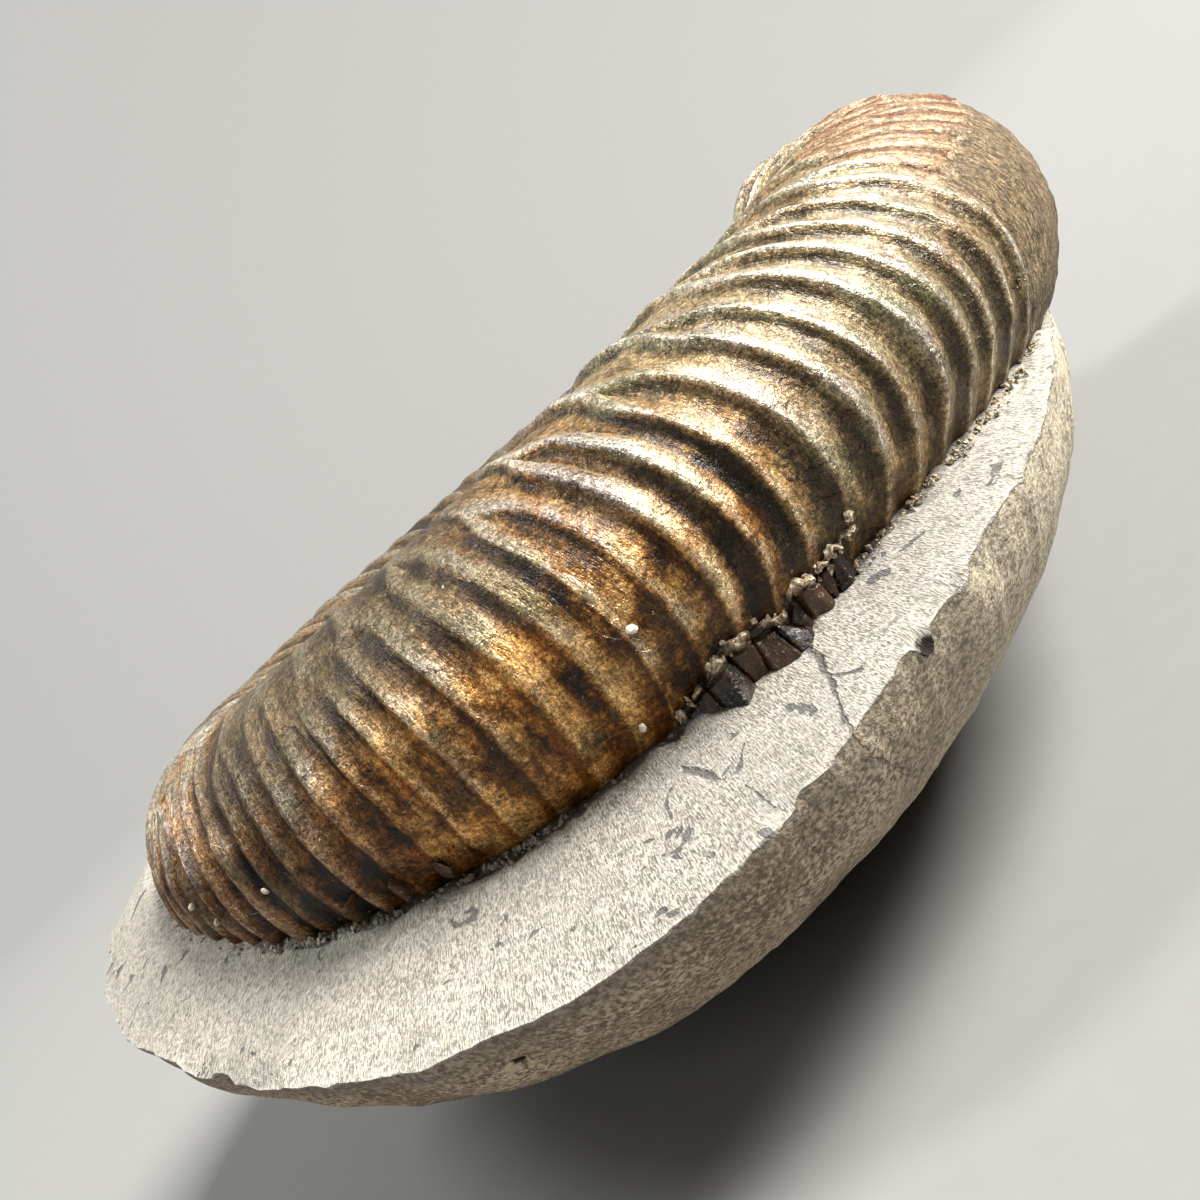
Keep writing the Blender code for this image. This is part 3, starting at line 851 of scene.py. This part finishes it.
def shell_spot(degrees, section_degrees, lift):
    """A point on the shell's smooth outline, lift mm outside it."""
    azimuth, around = np.radians(degrees), np.radians(section_degrees)
    outer = outer_radius(azimuth) / MM
    reach = np.abs(np.cos(around)) ** SECTION_POWER + np.abs(np.sin(around)) ** SECTION_POWER
    reach = reach ** (-1 / SECTION_POWER) + lift / (outer * HALF_HEIGHT)
    radius = outer * (1 - HALF_HEIGHT) + outer * HALF_HEIGHT * reach * np.cos(around)
    return polar(azimuth, radius, MIDDLE + outer * HALF_BREADTH * reach * np.sin(around))


def bits(name, spots, surface, slot, marks, **sizes):
    """One piece of loose bits, a lump at every spot, all marked alike."""
    base = bpy.data.meshes.new(name + "_spots")
    base.from_pydata((spots * MM).tolist(), [], [])
    piece = grow(name, scatter, base, Surface=surface, **sizes)
    write_values(piece.data, **marks)
    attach(piece, "root")


def glossy_brown():
    """Chips of the shell itself: dark glassy brown, with paler crumbling edges."""
    surface, shader, place = new_surface("shell_chip")
    crumbly, chip_shade = stored(surface.node_tree, "crumbly", "chip_shade")
    patch = mottle(place, 900, 4, 0.65)
    fine = mottle(place, 5000, 3, 0.7)
    shade = ramp(patch, 0.36, 0.66) * 0.5 + (chip_shade - 0.15)
    colour = blend(shade, tint(18, 11, 6), tint(78, 52, 30))
    colour = blend(ramp(fine, 0.6, 0.7, 0.0, 0.5), colour, tint(196, 176, 144))
    crumbled = blend(ramp(fine, 0.38, 0.62), tint(104, 82, 56), tint(220, 204, 174))
    finish_surface(shader, fine, CRUMB_RELIEF, {
        "Base Color": blend(crumbly, colour, crumbled),
        "Roughness": crumbly * 0.5 + ramp(patch, 0.35, 0.65, 0.12, 0.4)})
    return surface


def cream_lime():
    surface, shader, place = new_surface("cream_lime")
    fine = mottle(place, 3500, 4, 0.7)
    finish_surface(shader, fine, CRUMB_RELIEF, {
        "Base Color": blend(fine, tint(184, 172, 142), tint(236, 228, 208)),
        "Roughness": ramp(fine, 0.3, 0.7, 0.5, 0.8)})
    return surface


def chip_lift(walk, degrees, fall):
    """How far the chips stand out of the crevice, how crumbled they are, and which is which."""
    centres = CHIPS[:, :2] * (MM_ALONG_DEGREE, MM_LEDGE_TO_FOOT)
    gaps = np.linalg.norm((walk[:, None, :2] - centres[None]) * (1.25, 0.6), axis=2)
    gaps += 0.25 * lumps(walk, 0.9, 63)[:, None] * np.linspace(-1, 1, len(CHIPS))
    order = np.argsort(gaps, axis=1)
    nearest = order[:, 0]
    rows = np.arange(len(walk))
    border = (gaps[rows, order[:, 1]] - gaps[rows, nearest]) / 2
    tilts = np.random.default_rng(64).uniform(-0.36, 0.36, (len(CHIPS), 2))
    lift = CHIPS[nearest, 2] + np.einsum("ij,ij->i", tilts[nearest], walk[:, :2] - centres[nearest])
    lift += 0.03 * lumps(walk, 0.5, 65) - 0.22 * np.exp(-(border / 0.09) ** 2)
    crumble = np.exp(-((fall - 0.08) / 0.13) ** 2) * np.clip(0.6 + 1.3 * lumps(walk, 0.5, 66), 0, 1.3)
    lift = lift * between(fall, 0.12, 2, 0.2) + crumble * (0.30 + 0.24 * lumps(walk, 0.2, 67))
    lift -= 0.25 * np.exp(-((fall - 0.24) / 0.06) ** 2)
    held = between(fall, -0.05, 1.08, 0.16) * between(degrees, LEDGE_AT[0] + 0.5, LEDGE_AT[-1] - 0.5, 1.0)
    return lift * held - 0.55 * (1 - held), crumble, nearest


def broken_lip():
    """Big glassy chips wedged in the crevice, under the crumbling edge of the outer layer."""
    degrees, fall = np.meshgrid(np.linspace(LEDGE_AT[0], LEDGE_AT[-1], CHIP_COLUMNS),
                                np.linspace(-0.25, 1.2, CHIP_ROWS), indexing="ij")
    degrees, fall = degrees.ravel(), fall.ravel()
    walk = np.stack([degrees * MM_ALONG_DEGREE, fall * MM_LEDGE_TO_FOOT, degrees * 0], axis=1)
    ledge = np.interp(degrees, LEDGE_AT, LEDGE_HEIGHT) + 1.6 * lumps(walk * (1, 0, 0), 0.45, 61)
    top = shell_spot(degrees, ledge, -0.45)
    foot_radius = np.interp(degrees, FOOT_AT, FOOT_RADIUS) + 0.12 * lumps(walk * (1, 0, 0), 0.6, 62)
    azimuth = np.radians(degrees)
    run = polar(azimuth, foot_radius, face_height(azimuth, foot_radius)) - top
    reach = np.einsum("ij,ij->i", run, polar(azimuth, 1.0, 0.0))
    out = polar(azimuth, -run[:, 2], reach)
    out /= np.linalg.norm(out, axis=1)[:, None]
    lift, crumble, nearest = chip_lift(walk, degrees, fall)
    outside = top + run * fall[:, None] + out * lift[:, None]
    inside = top + run * fall[:, None] - out * 1.3

    count = len(walk)
    index = np.arange(count).reshape(CHIP_COLUMNS, CHIP_ROWS)
    quads = np.stack([index[:-1, :-1], index[:-1, 1:], index[1:, 1:], index[1:, :-1]], axis=-1)
    quads = quads.reshape(-1, 4)
    loop = np.concatenate([index[:-1, 0], index[-1, :-1], index[:0:-1, -1], index[0, :0:-1]])
    after = np.roll(loop, -1)
    sides = np.stack([loop, after, after + count, loop + count], axis=1)
    faces = np.concatenate([quads, quads[:, ::-1] + count, sides])
    mesh = bpy.data.meshes.new("broken_lip")
    mesh.from_pydata((np.concatenate([outside, inside]) * MM).tolist(), [], faces.tolist())
    mesh.materials.append(chip_surface)
    crumbly = np.clip(crumble * 1.6 - 0.25, 0, 1) * (fall < 0.3)
    write_values(mesh, crumbly=np.tile(crumbly, 2), chip_shade=np.tile(CHIPS[nearest, 3], 2))
    mesh.update()
    piece = add_object("broken_lip", mesh)
    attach(piece, "root")


scatter = scatter_tree()
dice = np.random.default_rng(5)
chip_surface = glossy_brown()

stone_places = [along_join(110, -150, -40, -0.1, 0.6, 0.06), along_join(170, -154, -104, -0.3, 0.3, 0.03),
                along_join(90, -40, 210, -0.2, 0.8, 0.05)]
bits("limestone_crumbs", np.concatenate(stone_places), limestone, "matrix_stone", {},
     Smallest=0.07 * MM, Largest=0.24 * MM, Seed=2)
brown_places = [along_join(50, -122, -76, -0.35, 0.1, 0.05), along_join(50, -150, -93, -0.35, 0.1, 0.05)]
bits("shell_crumbs", np.concatenate(brown_places), chip_surface, "fossil_shell", {"crumbly": 0.55},
     Smallest=0.08 * MM, Largest=0.26 * MM, Seed=3)
broken_lip()
lip_at = np.interp(dice.uniform(0, 1, LIP_CRUMBS), np.linspace(0, 1, len(LEDGE_AT)), LEDGE_AT)
lip_height = np.interp(lip_at, LEDGE_AT, LEDGE_HEIGHT) + dice.uniform(-5, 3, LIP_CRUMBS)
bits("lip_crumbs", shell_spot(lip_at, lip_height, -0.3), chip_surface, "fossil_shell", {"crumbly": 0.85},
     Smallest=0.1 * MM, Largest=0.3 * MM, Seed=4)
bits("skirt_crumbs", along_join(150, -75, -38, -0.45, 0.15, 0.02), chip_surface, "fossil_shell",
     {"crumbly": 0.95}, Smallest=0.06 * MM, Largest=0.22 * MM, Seed=9)
bits("loose_flakes", shell_spot(*FLAKES_AT, -0.3), chip_surface, "fossil_shell", {"chip_shade": 0.9},
     Smallest=0.5 * MM, Largest=0.85 * MM, Flatness=0.22, Steps=2, Seed=6)
bits("lime_specks", shell_spot(*SPECKS_AT, -0.1), cream_lime(), "fossil_shell", {},
     Smallest=0.17 * MM, Largest=0.27 * MM, Jaggedness=0.22, Steps=3, Seed=8)

# ---------------------------------------------------------------------------------------
# Floor, light and camera.  A pale paper sweep that curves up behind the fossil, one large
# soft lamp high on the right, a weak one on the left and one on the paper behind, and the
# camera close in front of the nodule, rolled to the right.
# ---------------------------------------------------------------------------------------
FLOOR_HALF_WIDTH = 1.6
FLOOR_FRONT = -0.9
SWEEP_START = 0.45
SWEEP_RADIUS = 0.5
WALL_HEIGHT = 1.6
CAMERA_DISTANCE = 0.09195
CAMERA_HEIGHT = 0.03529
CAMERA_LOOK = (0.0035, 0.983, -0.1837)
CAMERA_RIGHT = (0.7347, -0.1271, -0.6664)
LENS = 36.813

profile = [(FLOOR_FRONT, 0.0)]
for bend in np.linspace(0, math.pi / 2, 25):
    profile.append((SWEEP_START + SWEEP_RADIUS * math.sin(bend), SWEEP_RADIUS * (1 - math.cos(bend))))
profile.append((SWEEP_START + SWEEP_RADIUS, WALL_HEIGHT))
floor_verts = [(side * FLOOR_HALF_WIDTH, y, z) for y, z in profile for side in (-1, 1)]
floor_faces = [(2 * i, 2 * i + 1, 2 * i + 3, 2 * i + 2) for i in range(len(profile) - 1)]
floor_mesh = bpy.data.meshes.new("floor_sweep")
floor_mesh.from_pydata(floor_verts, [], floor_faces)
floor_mesh.polygons.foreach_set("use_smooth", np.ones(len(floor_faces), dtype=bool))
paper, paper_shader, paper_place = new_surface("studio_paper")
paper_colour = blend(mottle(paper_place, 400, 3), tint(122, 122, 120), tint(127, 127, 125))
feed(paper_shader, {"Base Color": paper_colour, "Roughness": 0.9})
floor_mesh.materials.append(paper)
add_object("floor_sweep", floor_mesh)

look = Vector(CAMERA_LOOK).normalized()
camera_up = Vector(CAMERA_RIGHT).cross(look).normalized()
camera_data = bpy.data.cameras.new("camera")
camera_data.lens = LENS
camera_data.sensor_width = 36.0
camera_data.clip_start = 2 * MM
camera = add_object("camera", camera_data)
camera.matrix_world = Matrix((look.cross(camera_up), camera_up, -look)).transposed().to_4x4()
camera.location = (0.0, -CAMERA_DISTANCE, CAMERA_HEIGHT)
bpy.context.scene.camera = camera


def softbox(name, place, width, height, watts, colour, aim=(0, 0, MID_PLANE)):
    light = bpy.data.lights.new(name, "AREA")
    light.shape = "RECTANGLE"
    light.size = width
    light.size_y = height
    light.energy = watts
    light.color = colour
    lamp = add_object(name, light)
    lamp.location = place
    lamp.rotation_euler = (Vector(aim) - Vector(place)).to_track_quat("-Z", "Y").to_euler()


softbox("key_softbox", (0.94, -0.20, 0.86), 0.55, 0.55, 63.0, (1.0, 0.98, 0.95))
softbox("fill_softbox", (-0.30, -0.35, 0.30), 0.25, 0.25, 0.5, (0.95, 0.97, 1.0))
softbox("backdrop_softbox", (-0.5, 0.1, 0.9), 0.5, 0.3, 14.0, (1.0, 1.0, 1.0), (-0.2, 0.95, 0.35))
world = bpy.data.worlds.new("studio")
bpy.context.scene.world = world
bpy.context.scene.view_settings.view_transform = "Standard"
world.use_nodes = True
feed(world.node_tree.nodes["Background"], {"Color": (0.92, 0.9, 0.88, 1), "Strength": 0.08})
